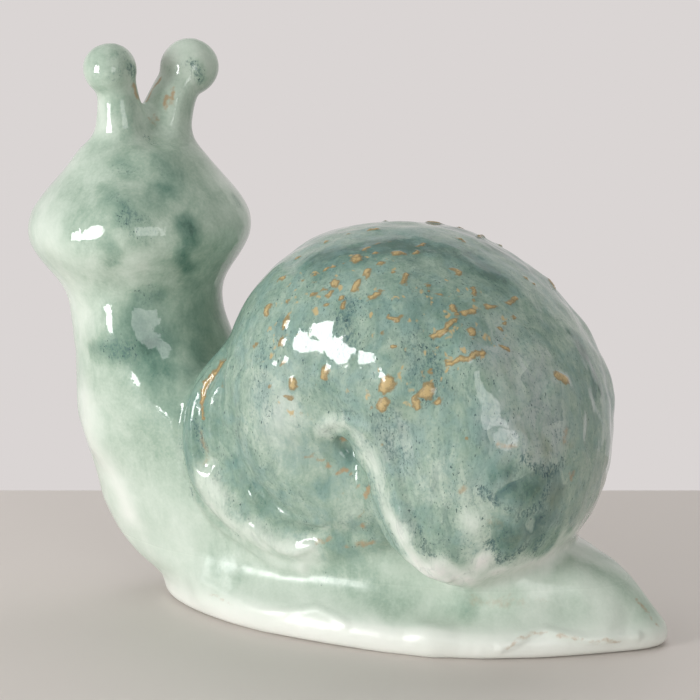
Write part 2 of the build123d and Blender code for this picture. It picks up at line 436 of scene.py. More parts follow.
class SNAIL_OT_clay_skin(bpy.types.Operator):
    """Lay one skin over the six castings, smooth the slip in their joints and dip it in glaze"""

    bl_idname = "snail.clay_skin"
    bl_label = "Clay skin"

    def execute(self, context):
        clay = context.scene.snail_clay
        skin = self.joined_copies()
        applied(skin, "REMESH", mode="VOXEL", voxel_size=clay.grain, use_smooth_shade=True)
        distances = node_distances(skin)
        self.smooth_joints(skin, clay, distances)
        self.lay_lumps(skin, clay, distances)
        stand_on_table(skin)
        base_coat(skin, context.scene.snail_studio, distances)
        plant_trees(skin)
        return {"FINISHED"}

    def joined_copies(self):
        """All castings in one mesh, with the kiln vent stopped."""
        copies = []
        for node in PIECES:
            copy = bpy.data.objects.new(SKIN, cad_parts[node].data.copy())
            bpy.context.scene.collection.objects.link(copy)
            copies.append(copy)
        low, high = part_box("foot_slab")
        thickness = high.z - low.z
        deselect_all()
        bpy.ops.mesh.primitive_cylinder_add(radius=STOP_RADIUS, depth=thickness / 2,
                                            location=(VENT_X, 0, thickness))
        bpy.context.object.select_set(True)
        for copy in copies:
            copy.select_set(True)
        bpy.context.view_layer.objects.active = copies[0]
        bpy.ops.object.join()
        skin = bpy.context.object
        skin.name = SKIN
        bpy.ops.object.mode_set(mode="EDIT")
        bpy.ops.mesh.select_all(action="SELECT")
        bpy.ops.mesh.remove_doubles(threshold=WELD)
        bpy.ops.object.mode_set(mode="OBJECT")
        return skin

    def smooth_joints(self, skin, clay, distances):
        """Smooths all over, along joints, round the stalks' roots, over the crown and in the cove."""
        second = np.sort(distances, axis=1)[:, 1]
        body, left, right = distances[:, 1], distances[:, 4], distances[:, 5]
        rooted = np.minimum(np.maximum(body, np.minimum(left, right)), np.maximum(left, right))
        height = points_of(skin)[:, 2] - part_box("body")[1].z
        crown = smooth_step(height, *CROWN_IN) * (1 - smooth_step(height, *CROWN_OUT))
        for name, weights, passes in (
            ("all", np.ones(len(second)), clay.soften_passes),
            ("joint", 1 - second / clay.joint_reach, clay.joint_passes),
            ("root", 1 - rooted / clay.root_reach, clay.root_passes),
            ("crown", crown, clay.crown_passes),
            ("cove", 1 - np.maximum(distances[:, 0], body) / clay.cove_reach, clay.cove_passes),
        ):
            group = group_of(skin, name, weights)
            applied(skin, "SMOOTH", factor=0.5, iterations=passes, vertex_group=group)

    def lay_lumps(self, skin, clay, distances):
        """The gentle lumps of hand-finished clay, and the knobs of thick glaze on the shell."""
        free = smooth_step(points_of(skin)[:, 2], *LUMPS_IN)
        shell = np.clip(1 - distances[:, 2] / KNOB_REACH, 0, 1)
        rippled = free * (FEWER_RIPPLES + (1 - FEWER_RIPPLES) * shell)
        for name, size, rise, weights in (
            ("lumps", clay.lump_size, clay.lump_height, free),
            ("ripples", clay.ripple_size, clay.ripple_height, rippled),
            ("knobs", clay.knob_size, clay.knob_height, free * shell),
        ):
            texture = bpy.data.textures.new(name, "CLOUDS")
            texture.noise_scale = size
            texture.noise_depth = 1
            applied(skin, "DISPLACE", texture=texture, texture_coords="LOCAL", strength=rise,
                    mid_level=0.5, vertex_group=group_of(skin, name, weights))
        skin.vertex_groups.clear()


class PieceStep:
    """What the pieces' operators share: strokes of glaze, raised drops, then the relief.

    Each row of a table is a stroke: its strength, the brush's radius in millimetres and the
    places that it goes through, in pixels of the photograph.
    """

    pool = ink = haze = vein = rust = fleck = ()
    # A drop's row has no strength, and a ridge's or groove's starts with its rise in millimetres
    drops = relief = ()

    def execute(self, context):
        studio, clay = context.scene.snail_studio, context.scene.snail_clay
        skin = bpy.data.objects[SKIN]
        for name in CHANNELS:
            strokes = getattr(self, name, ())
            if strokes:
                values = get_attribute(skin, name)
                for strength, radius, *path in strokes:
                    kind = "fine" if radius < FINE_BRUSH else "ragged"
                    values += strength * brush(skin, studio, path, radius * MM, kind)
                set_attribute(skin, name, values)
        if self.drops:
            raised = np.zeros(len(skin.data.vertices))
            for radius, *path in self.drops:
                weights = brush(skin, studio, path, radius * MM, "fine", FAR_DROPS_TURN)
                raised = np.maximum(raised, weights)
            set_attribute(skin, "ochre", np.maximum(raised, get_attribute(skin, "ochre")))
            press(skin, raised * clay.drop_rise)
        for rise, radius, *path in self.relief:
            press(skin, brush(skin, studio, path, radius * MM, "plain") * rise * MM)
        stand_on_table(skin)
        return {"FINISHED"}


class SNAIL_OT_foot_slab(PieceStep, bpy.types.Operator):
    """Roll the foot slab's wavy hem and stain its ledge"""

    bl_idname = "snail.foot_slab"
    bl_label = "Foot slab"

    relief = (
        # the flank spreads into the ledge
        (1.6, 9, (205, 586), (235, 598), (262, 606), (300, 606), (340, 612), (385, 624), (430, 632)),
        (1.2, 8, (430, 632), (480, 634), (540, 622), (600, 622)),
        (-0.8, 8, (255, 574), (300, 586), (345, 592), (390, 604), (440, 612)),
        (-0.6, 8, (440, 612), (500, 612), (560, 604)),
        # ledge over the hem, the cove above it and the fold near the tail
        (0.9, 2.2, (200, 580), (207, 584), (222, 592), (236, 600), (249, 608), (266, 612), (284, 612)),
        (0.9, 2.2, (284, 612), (303, 609), (316, 607), (333, 615), (345, 625)),
        (0.8, 2, (500, 648), (515, 642), (530, 633), (545, 629), (560, 634), (588, 640), (637, 636)),
    )
    rust = (
        (0.3, 3, (470, 600), (492, 601), (505, 598)), (0.25, 3, (522, 600), (540, 597)),
        (0.5, 1, (505, 649), (515, 643), (530, 635), (558, 637), (588, 641), (617, 640)),
        (0.6, 0.9, (637, 599), (648, 612), (658, 627)), (0.35, 1, (212, 592), (226, 600), (236, 606)),
    )


class SNAIL_OT_body(PieceStep, bpy.types.Operator):
    """Pool the body's glaze in patches, paint window light on its breast and left side, and raise the
    hand's soft humps on its head and neck
    """

    bl_idname = "snail.body"
    bl_label = "Body"

    relief = (
        (1.3, 13, (118, 212)), (1.5, 11, (116, 334)), (1.5, 12, (100, 440)),
    )
    pool = (
        # patches on the head
        (0.2, 5, (126, 158), (129, 172)), (0.2, 5, (165, 158), (171, 172), (166, 188)),
        (0.14, 5, (158, 192), (156, 204)), (0.16, 5, (108, 196), (114, 208), (126, 214)),
        # the pale stroke on the head's right side is a painted reflection
        (0.12, 6, (134, 214), (138, 236)), (-0.1, 11, (224, 185), (236, 232)),
        (0.26, 4.6, (186, 230), (190, 246), (186, 266)), (0.14, 6, (182, 232), (194, 250), (188, 274)),
        (0.16, 2.6, (230, 200), (240, 205)), (0.14, 3, (249, 208), (252, 228), (246, 250)),
        (0.16, 4, (110, 248), (113, 264)), (-0.1, 6, (140, 256), (134, 276)),
        # patches on the neck
        (0.24, 4.6, (141, 296), (156, 294)), (0.2, 7, (132, 322), (158, 316), (165, 340)),
        (0.16, 7, (142, 322), (150, 340)), (0.26, 7, (98, 350), (118, 350), (142, 354), (160, 366)),
        (0.1, 7, (126, 378), (150, 386)), (0.13, 6, (194, 288), (197, 320), (200, 348)),
        (0.1, 4, (203, 336), (201, 350), (190, 366)), (0.06, 8, (85, 290), (90, 330), (95, 360)),
        # the pale breast and the left side: thinner glaze with painted window light on them
        (-0.14, 12, (45, 190), (50, 225), (70, 262), (80, 310)),
        (-0.24, 9, (85, 400), (100, 450), (125, 505)), (-0.06, 10, (165, 490), (185, 535)),
        (0.05, 9, (150, 420), (156, 460)),
        # the foot
        (0.16, 8, (222, 562), (240, 572)), (0.16, 7, (322, 576), (350, 577), (372, 588)),
        (0.16, 7, (385, 610), (400, 596)), (0.16, 6, (465, 603), (462, 610)),
        (0.08, 6, (560, 606), (572, 608)), (0.1, 6, (598, 572), (613, 583), (628, 597)),
        (-0.08, 9, (540, 612), (580, 600), (620, 606)),
    )
    ink = (
        # patches on the head
        (0.45, 5, (122, 168), (133, 172)), (0.6, 2.4, (150, 141), (154, 146)),
        (0.25, 4, (163, 166), (168, 182)), (0.4, 4.6, (114, 204), (132, 212)),
        (0.5, 5, (130, 220), (142, 230)), (0.6, 2.6, (230, 200), (239, 204)),
        (0.35, 3.4, (111, 250), (113, 262)),
        # patches on the neck
        (0.5, 5, (146, 290), (152, 300)), (0.25, 6, (140, 322), (158, 330)),
        (0.7, 6, (112, 350), (130, 354)), (0.3, 6, (136, 362), (156, 376)),
        # the foot
        (0.3, 5, (318, 578), (332, 576)),
    )


class SNAIL_OT_shell(PieceStep, bpy.types.Operator):
    """Raise the shell's lip, its swirl and its ochre drops, and marble its glaze"""

    bl_idname = "snail.shell"
    bl_label = "Shell"

    relief = (
        # broad humps and a dent of the hand-finished whorl
        (1.4, 13, (350, 386), (368, 392)), (0.6, 8, (318, 318), (330, 312)),
        (0.8, 7, (384, 356), (412, 392)), (0.7, 7, (452, 330), (475, 372)),
        (-0.7, 8, (430, 300), (440, 345)), (0.8, 8, (540, 360), (575, 420)),
        # crest of the shell's lip, the valley at its root and the hook of its swirl
        (0.8, 2.6, (322, 426), (334, 421), (355, 425), (375, 438), (386, 460), (394, 490), (400, 515)),
        (0.7, 2.6, (400, 515), (410, 540), (425, 560), (447, 579)),
        (-0.8, 2.2, (340, 441), (352, 455), (362, 475), (368, 498), (376, 517), (389, 543)),
        (-0.5, 1.6, (398, 463), (405, 490), (412, 512), (420, 532), (433, 552)),
    )
    pool = (
        # the inner whorl, the pale lip and the lower edge
        (-0.3, 4, (322, 430), (330, 424), (345, 422)),
        (-0.32, 6, (360, 440), (372, 462), (378, 485), (384, 508), (396, 532)),
        (-0.22, 6, (396, 532), (412, 556), (436, 576), (470, 584)), (0.16, 5, (322, 487), (318, 495)),
        (0.14, 5, (335, 452), (345, 458)), (-0.14, 6, (285, 408), (295, 425)),
        # darker top and runs, and bare cream below them
        (0.3, 11, (330, 258), (380, 246), (440, 248), (490, 275)),
        (0.15, 8, (440, 300), (470, 330), (490, 345)), (0.3, 6, (505, 480), (520, 490), (535, 483)),
        (0.25, 5, (500, 530), (505, 545)), (0.25, 4, (536, 520), (538, 540)),
        (-0.26, 6, (464, 528), (470, 545), (484, 562)), (-0.2, 5, (500, 573), (530, 566), (560, 553)),
        (-0.18, 7, (588, 500), (580, 525), (570, 545)),
        (0.35, 3, (570, 334), (581, 352), (590, 372), (594, 395)),
        # paler ground of the marbled side
        (-0.1, 14, (520, 350), (540, 400), (550, 430)),
        # thinner glaze on the inner whorl and low on the outer one
        (-0.16, 15, (272, 410), (282, 440), (300, 476), (335, 500)),
        (-0.2, 11, (440, 480), (460, 500), (482, 512)),
    )
    ink = (
        # a patch on the inner whorl
        (0.17, 4, (318, 490), (310, 486)),
        # streaks over the top and blue-black runs below
        (0.4, 4, (348, 300), (350, 330), (356, 345)), (0.4, 4, (412, 340), (415, 365), (410, 390)),
        (0.45, 4, (436, 350), (430, 375), (424, 400)), (0.4, 5, (385, 415), (395, 440), (404, 462)),
        (0.35, 4, (340, 330), (345, 345), (342, 360)), (0.35, 5, (262, 350), (258, 380), (262, 410)),
        (0.3, 4, (330, 385), (345, 395), (350, 410)),
        (0.9, 3, (525, 462), (535, 470), (548, 470), (560, 463)), (0.9, 2, (547, 473), (548, 489)),
        (0.9, 2.4, (484, 490), (496, 502), (509, 507), (519, 513)),
        (0.7, 2.4, (519, 513), (532, 505), (546, 493)), (1, 2.2, (541, 515), (542, 529), (539, 547)),
        (0.8, 2.6, (484, 545), (493, 555), (501, 560), (515, 552), (530, 545)),
        (0.8, 2.2, (418, 535), (424, 545), (430, 554)),
        # less of it on the inner whorl
        (-0.22, 15, (275, 410), (290, 450), (330, 495)),
    )
    haze = (
        # milky veil on the marbled side, by the lip and on the inner whorl
        (0.9, 13, (500, 350), (530, 370), (540, 400), (550, 430)),
        (0.8, 10, (500, 420), (515, 440), (530, 455)), (0.5, 8, (395, 430), (400, 460)),
        (0.4, 8, (270, 400), (280, 440)),
    )
    vein = (
        # dark veins of the marbled side, fainter towards the lip
        (0.9, 12, (505, 440), (530, 450), (560, 455)), (0.9, 10, (490, 490), (520, 495), (550, 500)),
        (0.8, 8, (500, 535), (530, 530), (545, 520)), (0.5, 9, (520, 380), (560, 400), (590, 430)),
        (0.4, 8, (400, 420), (410, 450), (420, 480)), (0.3, 9, (350, 330), (400, 340), (430, 370)),
    )
    rust = (
        # warm stains
        (0.55, 1.2, (303, 457), (313, 457), (321, 460)), (0.8, 0.9, (328, 464), (331, 468)),
        (0.8, 0.8, (336, 472), (340, 469), (346, 471), (351, 472)), (0.9, 1.1, (351, 472), (352, 473)),
        (0.9, 1, (368, 488), (366, 491), (364, 495)), (0.7, 0.8, (364, 479)), (0.7, 0.8, (358, 487)),
        (0.8, 0.8, (353, 494)), (0.8, 0.8, (345, 492)), (0.8, 0.8, (337, 501)),
        (0.5, 0.8, (363, 509), (359, 517)), (0.9, 1.2, (363, 527)), (0.9, 1.2, (346, 547)),
        (0.6, 1.2, (316, 541), (326, 541), (330, 538)), (0.6, 1.5, (360, 545), (374, 541)),
        (0.9, 1.4, (343, 442), (345, 440)), (0.5, 1.8, (458, 492), (461, 490)),
        (0.35, 3, (490, 519), (494, 523)), (0.45, 1.6, (565, 430), (565, 442)),
        (0.6, 1.5, (573, 472), (571, 480)), (0.5, 1.5, (497, 444), (514, 446)),
    )
    fleck = (
        # small ochre flecks over the top
        (1, 15, (300, 300), (330, 285), (365, 280), (400, 300), (430, 330)),
        (0.9, 11, (450, 300), (490, 320), (470, 350), (420, 390), (380, 390)),
        (0.6, 12, (270, 340), (275, 380), (290, 400)),
    )
    drops = (
        (1.2, (371, 230), (377, 229)), (0.9, (349, 234)), (0.9, (327, 242)), (1.1, (297, 259), (300, 257)),
        (1.1, (279, 281), (284, 278)), (0.9, (303, 281)), (0.8, (315, 283)), (1.3, (334, 282), (336, 286)),
        (1.7, (357, 282), (354, 289)), (1, (322, 290)), (1, (314, 294)), (0.9, (330, 293), (326, 298)),
        (0.9, (325, 306)), (0.9, (343, 298), (343, 307)), (0.9, (287, 302)), (1.6, (268, 307), (265, 313)),
        (1.1, (286, 319), (283, 326)), (0.9, (280, 338), (280, 347)), (0.8, (299, 336)), (0.8, (254, 346)),
        (1, (282, 366)), (1.5, (290, 382), (292, 387)), (1, (284, 397), (289, 398)), (0.8, (269, 387)),
        (1.3, (323, 371), (323, 378)), (0.9, (370, 268), (366, 277)), (1.1, (381, 264)),
        (1.5, (396, 254), (403, 254)), (0.8, (376, 253)), (1.4, (356, 257), (359, 261)), (0.9, (365, 250)),
        (0.5, (360, 251), (372, 246), (387, 243)), (0.5, (316, 274), (330, 268), (345, 262)),
        (0.6, (424, 245), (414, 254)), (1.1, (405, 275), (402, 284)), (1, (425, 285), (427, 289)),
        (0.9, (441, 294)), (1.6, (370, 298), (377, 294)), (0.8, (381, 290)), (0.6, (366, 303)),
        (0.7, (393, 273)), (0.9, (388, 318), (394, 322), (401, 318)), (0.8, (382, 335)),
        (1.1, (430, 337), (440, 332), (446, 326), (453, 321)), (0.9, (392, 350)),
        (1, (429, 370), (429, 375)), (1.8, (388, 382), (386, 390)), (2.2, (428, 390), (424, 396)),
        (1.6, (385, 403), (381, 407)), (0.7, (370, 409)), (1.6, (414, 402), (416, 409)),
        (1.2, (436, 403), (439, 403)), (0.7, (301, 415)), (0.8, (382, 445)), (1.5, (454, 270), (458, 274)),
        (0.8, (474, 289), (474, 299)), (0.9, (453, 307), (457, 316)), (1.3, (466, 314), (474, 312)),
        (1.2, (472, 332)), (0.9, (489, 307), (498, 306)), (0.9, (507, 303), (515, 298)),
        (1, (499, 329), (503, 323)), (0.8, (514, 317)), (1.1, (501, 347), (505, 350)),
        (0.9, (445, 363), (459, 361), (470, 357), (482, 352)), (1.4, (555, 377), (566, 382)),
        (0.9, (526, 279), (533, 284)), (0.8, (465, 439)),
    )


class SNAIL_OT_mantle_collar(PieceStep, bpy.types.Operator):
    """Roll the collar's rims, and let gold run down its channel"""

    bl_idname = "snail.mantle_collar"
    bl_label = "Mantle collar"

    relief = (
        # channel along the collar, and the crease outside it
        (-1.5, 3.2, (221, 357), (212, 371), (203, 388), (198, 405), (197, 425), (198, 445), (203, 465)),
        (-0.6, 2, (214, 356), (203, 372), (190, 392), (182, 412), (179, 432), (181, 455), (187, 480)),
        # the collar's inner rim and the valley below it
        (0.8, 2.2, (231, 362), (228, 385), (227, 410), (228, 437), (233, 457), (241, 478), (253, 497)),
        (0.8, 2.2, (253, 497), (270, 508), (292, 518), (320, 523)),
        (-0.8, 2.8, (213, 462), (222, 480), (235, 499), (250, 514), (268, 526), (290, 535), (312, 537)),
        # the collar's outer edge and the second fold in its bottom
        (0.8, 2.6, (200, 500), (213, 519), (227, 531), (245, 543), (265, 557), (283, 566), (302, 568)),
        (0.6, 1.8, (255, 527), (268, 540), (282, 551), (295, 553), (312, 546)),
    )
    pool = (
        # the pale lower roll, and a patch in the channel's foot
        (-0.44, 9, (208, 482), (215, 502), (232, 524), (262, 545), (300, 556)),
        (0.12, 5, (230, 505), (240, 512)),
    )
    ink = (
        # dark line in the outer crease, and patches in the channel
        (0.8, 1.6, (180, 440), (182, 452), (187, 473), (192, 495)),
        (0.6, 3, (197, 432), (198, 445), (200, 455)), (0.7, 2.4, (226, 496), (228, 504), (227, 515)),
    )
    rust = (
        # gold that ran down the channel
        (0.8, 1.6, (220, 359), (213, 371), (203, 387), (198, 402), (200, 417)),
        (0.5, 2.2, (199, 430), (198, 443), (201, 452), (204, 468)),
    )
    drops = (
        (0.9, (222, 385)), (0.5, (240, 374)), (1.9, (219, 362), (212, 372), (204, 385)),
        (1.8, (203, 389), (199, 400)), (1.3, (200, 408), (201, 418)),
    )


class SNAIL_OT_eye_stalks(PieceStep, bpy.types.Operator):
    """Cloud the two eye stalks and stain the fork between them"""

    bl_idname = "snail.eye_stalks"
    bl_label = "Eye stalks"

    pool = (
        (0.16, 3.6, (120, 56), (127, 66), (124, 76)), (0.14, 4, (124, 104), (128, 120), (126, 134)),
        (-0.12, 4, (106, 104), (108, 130)), (-0.12, 9, (184, 56), (200, 60)),
        (0.12, 3, (194, 66), (200, 76)), (0.12, 2.6, (163, 64), (163, 80)),
        (0.1, 3.6, (166, 110), (160, 128)),
    )
    ink = (
        (0.55, 3.6, (120, 56), (127, 66), (120, 76)), (0.3, 2.6, (96, 62), (102, 68)),
        (0.25, 4, (126, 108), (127, 130)), (0.7, 3.2, (190, 66), (198, 76)),
        (0.35, 3, (172, 56), (180, 62), (168, 72)),
    )
    rust = (
        (0.8, 1.3, (159, 80), (154, 88), (149, 95), (147, 100)), (0.5, 0.9, (150, 118), (153, 124)),
        (0.8, 1.1, (173, 88), (172, 98), (172, 104)),
    )


def keep_in_box(skin):
    """Draws the skin in by degrees where its lumps stand out past the castings' box."""
    places = points_of(skin)
    for axis in range(3):
        for side, edge in zip((-1, 1), (cad_box[0][axis], cad_box[1][axis])):
            out = side * places[:, axis]
            excess = out.max() - side * edge
            if excess > 0:
                drawn = smooth_step(out, side * edge - DRAWN_IN, out.max())
                places[:, axis] -= side * excess * drawn
    set_points(skin, places)


class SNAIL_OT_part_skin(bpy.types.Operator):
    """Part the skin along the joints and give each piece its wall, glaze and casting"""

    bl_idname = "snail.part_skin"
    bl_label = "Part skin"

    def execute(self, context):
        clay = context.scene.snail_clay
        skin = bpy.data.objects[SKIN]
        for name in CHANNELS:
            set_attribute(skin, name, np.clip(get_attribute(skin, name), 0, 1))
        keep_in_box(skin)
        normals = normals_of(skin)
        stored = skin.data.attributes.new("skin_normal", "FLOAT_VECTOR", "POINT")
        stored.data.foreach_set("vector", normals.astype(np.float32).ravel())
        skin.data.materials.clear()
        for name, _ in PIECES.values():
            skin.data.materials.append(bpy.data.materials.new(name))
        corners = held(skin.data.loops, "vertex_index", kind=np.int32)
        starts = held(skin.data.polygons, "loop_start", kind=np.int32)
        # A face goes to the casting to which its corners are nearest
        distances = settled(skin, node_distances(skin), passes=6)
        share = np.add.reduceat(distances[corners], starts, axis=0)
        skin.data.polygons.foreach_set("material_index", share.argmin(axis=1).astype(np.int32))
        work_on(skin)
        bpy.ops.object.mode_set(mode="EDIT")
        bpy.ops.mesh.select_all(action="SELECT")
        bpy.ops.mesh.separate(type="MATERIAL")
        bpy.ops.object.mode_set(mode="OBJECT")
        for part in list(context.selected_objects):
            finish_piece(part, clay.wall)
        return {"FINISHED"}


def settled(obj, values, passes):
    """Values averaged with those of the neighbours, some times over."""
    ends = held(obj.data.edges, "vertices", 2, np.int32)
    neighbours = np.bincount(ends.ravel(), minlength=len(values))[:, None]
    for _ in range(passes):
        total = np.zeros_like(values)
        for column in range(values.shape[1]):
            total[:, column] = np.bincount(ends[:, 0], values[ends[:, 1], column], len(values))
            total[:, column] += np.bincount(ends[:, 1], values[ends[:, 0], column], len(values))
        values = (values + total / np.maximum(neighbours, 1)) / 2
    return values


def finish_piece(part, wall):
    """Names a piece, gives it its wall and the skin's own normals, and seats it."""
    node = next(n for n in PIECES if PIECES[n][0] == part.data.materials[0].name)
    name, slot = PIECES[node]
    part.name = part.data.name = name
    outer = len(part.data.polygons)
    applied(part, "SOLIDIFY", thickness=wall, offset=-1, use_rim=True)
    mesh = part.data
    vertex_normal = held(mesh.attributes["skin_normal"].data, "vector", 3)
    corners = held(mesh.loops, "vertex_index", kind=np.int32)
    last = mesh.polygons[outer - 1]
    end = last.loop_start + last.loop_total
    # A zero leaves the corner its own normal, on the wall's inside and rim
    chosen = np.zeros((len(mesh.loops), 3), np.float32)
    chosen[:end] = vertex_normal[corners[:end]]
    mesh.normals_split_custom_set(chosen.tolist())
    mesh.attributes.remove(mesh.attributes["skin_normal"])
    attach(part, "root")
    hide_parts(node)


class SNAIL_OT_stage(bpy.types.Operator):
    """Set the table, backdrop, lamps and camera"""

    bl_idname = "snail.stage"
    bl_label = "Stage"

    def execute(self, context):
        studio = context.scene.snail_studio
        self.table_and_backdrop(studio)
        self.lamps(studio)
        self.camera(studio)
        return {"FINISHED"}

    def table_and_backdrop(self, studio):
        turn = studio.azimuth
        back = Vector((-sin(turn), cos(turn), 0))
        side = Vector((cos(turn), sin(turn), 0))
        for name, size, place, tilt, code in (
            ("table_top", (1.1, 0.95), back * -0.352, 0, studio.table),
            ("backdrop", (4.84, 2.18), back * 1.5 - side * 1.016, pi / 2, studio.backdrop),
        ):
            deselect_all()
            bpy.ops.mesh.primitive_plane_add(size=1, location=place, rotation=(tilt, 0, turn))
            sheet = bpy.context.object
            sheet.name = name
            sheet.scale = (*size, 1)
            bpy.ops.object.transform_apply(location=True, rotation=True, scale=True)
            material = bpy.data.materials.new(name)
            material.use_nodes = True
            shader = material.node_tree.nodes["Principled BSDF"]
            shader.inputs["Base Color"].default_value = (*code, 1)
            shader.inputs["Roughness"].default_value = SHEET_ROUGHNESS
            if name == "backdrop":
                self.show_plainly(material, shader, code)
            sheet.data.materials.append(material)

    def show_plainly(self, material, shader, code):
        """Lets the camera and the glaze see a sheet in its own colour, however far its lamps are."""
        bench = Bench(material.node_tree)
        ray = bench.add("ShaderNodeLightPath").outputs
        seen = bench.math("MAXIMUM", ray["Is Camera Ray"], ray["Is Glossy Ray"])
        plain = bench.add("ShaderNodeEmission", Color=(*code, 1))
        either = bench.add("ShaderNodeMixShader")
        for socket, value in zip(either.inputs, (seen, shader.outputs[0], plain.outputs[0])):
            bench.feed(socket, value)
        bench.feed(material.node_tree.nodes["Material Output"].inputs["Surface"], either.outputs[0])

    def lamps(self, studio):
        # angles round the snail and above it, distance, size and radiance
        for name, azimuth, elevation, distance, size, radiance in (
            ("window", -34, 7, 1.2, (0.40, 0.52), studio.window_power),
            ("second_window", 40, 9, 1.4, (0.5, 0.6), studio.second_power),
            ("overhead", 200, 62, 1.1, (1.2, 0.9), studio.overhead_power),
        ):
            turn, rise = radians(azimuth), radians(elevation)
            out = Vector((sin(turn) * cos(rise), -cos(turn) * cos(rise), sin(rise)))
            lamp = bpy.data.lights.new(name, "AREA")
            lamp.shape = "RECTANGLE"
            lamp.size, lamp.size_y = size
            lamp.energy = radiance * pi * size[0] * size[1]
            holder = bpy.data.objects.new(name, lamp)
            bpy.context.scene.collection.objects.link(holder)
            holder.location = LOOK_AT + out * distance
            holder.rotation_euler = out.to_track_quat("Z", "Y").to_euler()
            holder.visible_glossy = name != "overhead"
        world = bpy.data.worlds.new("room")
        world.use_nodes = True
        sky = world.node_tree.nodes["Background"]
        sky.inputs["Color"].default_value = (*paint(ROOM_COLOUR), 1)
        sky.inputs["Strength"].default_value = studio.room
        bpy.context.scene.world = world

    def camera(self, studio):
        back = view_back(studio)
        data = bpy.data.cameras.new("camera")
        data.lens = studio.lens
        data.sensor_width = SENSOR
        data.clip_start, data.clip_end = 0.01, 20
        holder = bpy.data.objects.new("camera", data)
        bpy.context.scene.collection.objects.link(holder)
        holder.location = LOOK_AT + back * studio.distance
        holder.rotation_euler = (-back).to_track_quat("-Z", "Y").to_euler()
        bpy.context.scene.camera = holder
        bpy.context.scene.view_settings.view_transform = "Standard"


class SNAIL_OT_glaze(bpy.types.Operator):
    """Pour the reactive glaze over every piece"""

    bl_idname = "snail.glaze"
    bl_label = "Glaze"

    def execute(self, context):
        glaze = context.scene.snail_glaze
        groups = {
            "pools": pools_group(glaze),
            "ink": ink_group(glaze),
            "veins": veins_group(glaze),
            "haze": haze_group(glaze),
            "spots": spots_group(glaze),
            "peel": peel_group(),
        }
        glazes = {}
        for name, slot in PIECES.values():
            part = bpy.data.objects[name]
            if slot not in glazes:
                glazes[slot] = glaze_material("reactive_" + slot, groups)
            part.data.materials.clear()
            part.data.materials.append(glazes[slot])
        return {"FINISHED"}


class Bench:
    """Adds nodes to a tree and joins their sockets."""

    def __init__(self, tree):
        self.tree = tree

    def add(self, kind, options=None, **inputs):
        node = self.tree.nodes.new(kind)
        for name, value in (options or {}).items():
            setattr(node, name, value)
        for name, value in inputs.items():
            self.feed(node.inputs[name.replace("_", " ")], value)
        return node

    def feed(self, socket, value):
        if isinstance(value, bpy.types.NodeSocket):
            self.tree.links.new(value, socket)
        elif value is not None:
            socket.default_value = value

    def math(self, operation, *values, clamp=False):
        node = self.add("ShaderNodeMath", {"operation": operation, "use_clamp": clamp})
        for socket, value in zip(node.inputs, values):
            self.feed(socket, value)
        return node.outputs[0]

    def times(self, first, *others):
        """The product of some values."""
        for value in others:
            first = self.math("MULTIPLY", first, value)
        return first

    def plus(self, base, value, factor, clamp=False):
        """A base with a value times a factor on top."""
        return self.math("MULTIPLY_ADD", value, factor, base, clamp=clamp)

    def band(self, value, low, high, bottom=0.0, top=1.0):
        """A smooth step from bottom to top as the value goes from low to high."""
        node = self.add("ShaderNodeMapRange", {"interpolation_type": "SMOOTHSTEP"})
        for socket, number in zip(node.inputs, (value, low, high, bottom, top)):
            self.feed(socket, number)
        return node.outputs[0]

    def mix(self, factor, one, other):
        node = self.add("ShaderNodeMix", {"data_type": "RGBA"})
        self.feed(node.inputs[0], factor)
        self.feed(node.inputs[6], one)
        self.feed(node.inputs[7], other)
        return node.outputs[2]

    def ramp(self, value, stops):
        node = self.add("ShaderNodeValToRGB", Fac=value)
        points = node.color_ramp.elements
        while len(points) < len(stops):
            points.new(0.5)
        for point, (place, shade) in zip(points, stops):
            point.position = place
            point.color = (*shade, 1)
        return node.outputs[0]

    def noise(self, place, scale, detail=2.0, roughness=0.5, distortion=0.0):
        """Noise from 0 to 1, its scale in features to the metre."""
        node = self.add("ShaderNodeTexNoise", Vector=place, Scale=scale, Detail=detail,
                        Roughness=roughness, Distortion=distortion)
        return node.outputs[0]

    def swing(self, place, scale, detail=2.0, roughness=0.5, distortion=0.0):
        """Noise that swings both ways about zero."""
        return self.math("SUBTRACT", self.noise(place, scale, detail, roughness, distortion), 0.5)

    def bent(self, place, scale, reach):
        """Places pushed about by smooth noise, so that what is drawn on them curls."""
        push = self.add("ShaderNodeTexNoise", Vector=place, Scale=scale, Detail=2.0)
        node = self.add("ShaderNodeVectorMath", {"operation": "MULTIPLY_ADD"})
        for socket, value in zip(node.inputs, (push.outputs["Color"], (reach, reach, reach), place)):
            self.feed(socket, value)
        return node.outputs[0]

    def running(self, place, share):
        """Places on which a pattern is drawn out downwards, the smaller the share the longer."""
        return self.add("ShaderNodeMapping", Vector=place, Scale=(1, 1, share)).outputs[0]


def new_group(name, inputs, outputs):
    """A node group with named sockets, and the bench, inputs and output node to build it."""
    tree = bpy.data.node_groups.new(name, "ShaderNodeTree")
    kinds = {"c": "NodeSocketColor", "f": "NodeSocketFloat", "v": "NodeSocketVector"}
    for label, kind, default in inputs:
        socket = tree.interface.new_socket(label, in_out="INPUT", socket_type=kinds[kind])
        if default is not None:
            socket.default_value = default
    for label, kind in outputs:
        tree.interface.new_socket(label, in_out="OUTPUT", socket_type=kinds[kind])
    entry = tree.nodes.new("NodeGroupInput")
    leave = tree.nodes.new("NodeGroupOutput")
    return tree, Bench(tree), entry.outputs, leave.inputs


